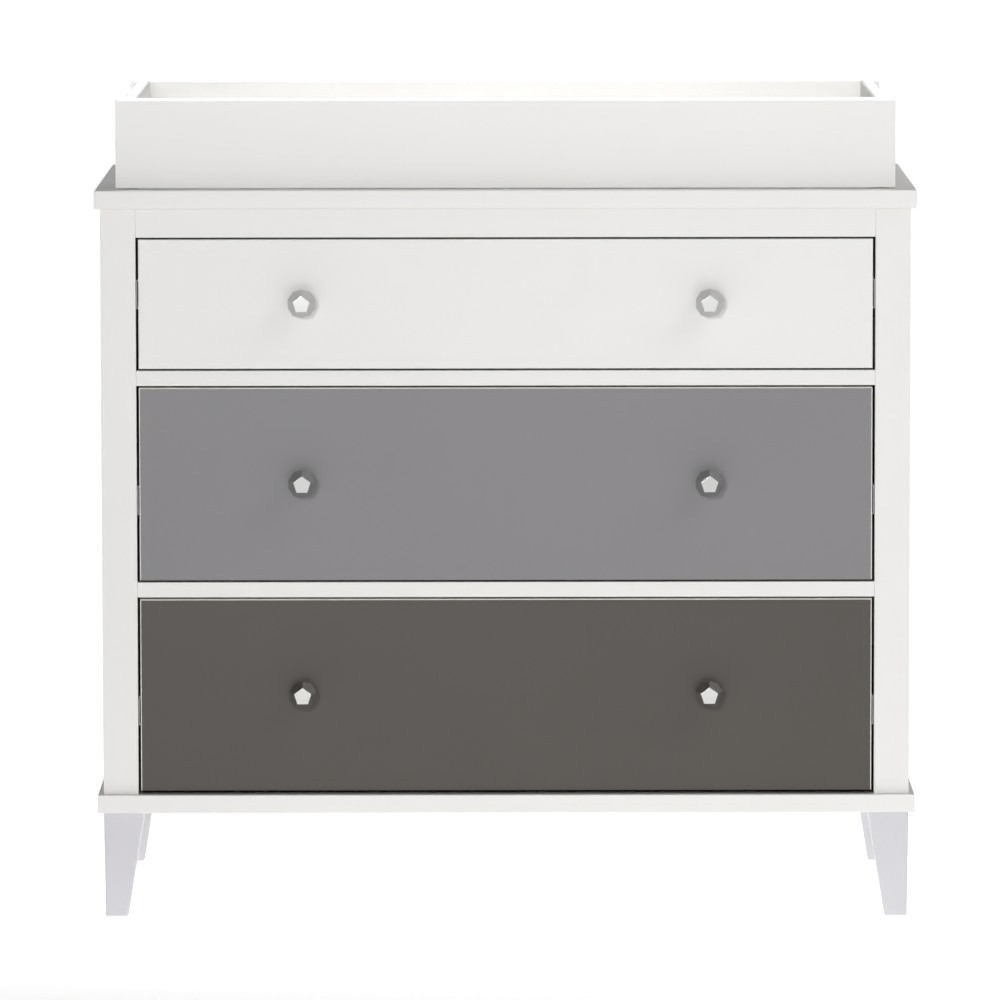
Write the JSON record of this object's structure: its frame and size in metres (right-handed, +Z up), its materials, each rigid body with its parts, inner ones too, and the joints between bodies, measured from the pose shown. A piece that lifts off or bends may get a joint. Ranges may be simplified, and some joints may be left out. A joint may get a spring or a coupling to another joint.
{
  "type": "changing dresser",
  "caption": "Low chest of drawers on tapered feet, with a shallow tray frame on top for a changing pad; drawers run out on ball slides and have faceted metal knobs.",
  "frame": {"origin": "on the floor, in the middle of the bounding box in X and Y (knobs included)", "axes": "+X to the right as seen from the front, +Y towards the back (the drawers open along -Y), +Z up"},
  "size_m": [0.984, 0.5084, 0.987],
  "materials": {
    "white_paint": "satin white paint on fibreboard",
    "drawer_white_paint": "satin white paint on fibreboard",
    "mid_grey_paint": "satin mid grey paint on fibreboard, pale edges",
    "dark_grey_paint": "satin dark grey paint on fibreboard, pale edges",
    "foot_paint": "satin cool white paint on hardwood",
    "drawer_board": "white foil on fibreboard",
    "hardboard": "white-faced hardboard",
    "raw_board": "bare particle board",
    "dowel_wood": "bare beech",
    "knob_metal": "polished, lightly brushed facets",
    "zinc_steel": "bright zinc plate",
    "cast_zinc": "die-cast zinc",
    "bumper": "clear soft bumper"
  },
  "bodies": {
    "case": {"top_panel": "white_paint", "bottom_panel": "white_paint", "side_panel_left": "white_paint", "side_panel_right": "white_paint", "stile_left": "white_paint", "stile_right": "white_paint", "top_rail": "white_paint", "rail_upper": "white_paint", "rail_lower": "white_paint", "back_rail": "raw_board", "back_panel": "hardboard", "slide_cleats": "raw_board", "slide_cabinet_members": "zinc_steel", "cam_discs": "cast_zinc", "cam_bolts": "zinc_steel", "strap_plate": "zinc_steel", "foot_front_left": "foot_paint", "foot_front_right": "foot_paint", "foot_back_left": "foot_paint", "foot_back_right": "foot_paint", "foot_bolts": "zinc_steel", "topper_front": "white_paint", "topper_back": "white_paint", "topper_side_left": "white_paint", "topper_side_right": "white_paint", "topper_brackets": "zinc_steel", "topper_pads": "bumper", "dowels": "dowel_wood", "wood_screws": "zinc_steel"},
    "drawer_1": {"drawer_1_front": "drawer_white_paint", "drawer_1_side_left": "drawer_board", "drawer_1_side_right": "drawer_board", "drawer_1_back": "drawer_board", "drawer_1_bottom": "hardboard", "drawer_1_knob_left": "knob_metal", "drawer_1_knob_right": "knob_metal", "drawer_1_knob_screws": "zinc_steel", "drawer_1_slide_members": "zinc_steel"},
    "drawer_1_cages": {"drawer_1_ball_cages": "zinc_steel"},
    "drawer_2": {"drawer_2_front": "mid_grey_paint", "drawer_2_side_left": "drawer_board", "drawer_2_side_right": "drawer_board", "drawer_2_back": "drawer_board", "drawer_2_bottom": "hardboard", "drawer_2_knob_left": "knob_metal", "drawer_2_knob_right": "knob_metal", "drawer_2_knob_screws": "zinc_steel", "drawer_2_slide_members": "zinc_steel"},
    "drawer_2_cages": {"drawer_2_ball_cages": "zinc_steel"},
    "drawer_3": {"drawer_3_front": "dark_grey_paint", "drawer_3_side_left": "drawer_board", "drawer_3_side_right": "drawer_board", "drawer_3_back": "drawer_board", "drawer_3_bottom": "hardboard", "drawer_3_knob_left": "knob_metal", "drawer_3_knob_right": "knob_metal", "drawer_3_knob_screws": "zinc_steel", "drawer_3_slide_members": "zinc_steel"},
    "drawer_3_cages": {"drawer_3_ball_cages": "zinc_steel"}
  },
  "joints": [
    {"name": "drawer_1_slide", "type": "slide", "parent": "case", "child": "drawer_1", "axis": [0, -1, 0], "range_m": [0, 0.3]},
    {"name": "drawer_1_cage_roll", "type": "slide", "parent": "case", "child": "drawer_1_cages", "axis": [0, -1, 0], "range_m": [0, 0.15]},
    {"name": "drawer_2_slide", "type": "slide", "parent": "case", "child": "drawer_2", "axis": [0, -1, 0], "range_m": [0, 0.3]},
    {"name": "drawer_2_cage_roll", "type": "slide", "parent": "case", "child": "drawer_2_cages", "axis": [0, -1, 0], "range_m": [0, 0.15]},
    {"name": "drawer_3_slide", "type": "slide", "parent": "case", "child": "drawer_3", "axis": [0, -1, 0], "range_m": [0, 0.3]},
    {"name": "drawer_3_cage_roll", "type": "slide", "parent": "case", "child": "drawer_3_cages", "axis": [0, -1, 0], "range_m": [0, 0.15]}
  ],
  "couplings": [
    {"joint": "drawer_1_cage_roll", "follows": "drawer_1_slide", "ratio": 0.5},
    {"joint": "drawer_2_cage_roll", "follows": "drawer_2_slide", "ratio": 0.5},
    {"joint": "drawer_3_cage_roll", "follows": "drawer_3_slide", "ratio": 0.5}
  ]
}
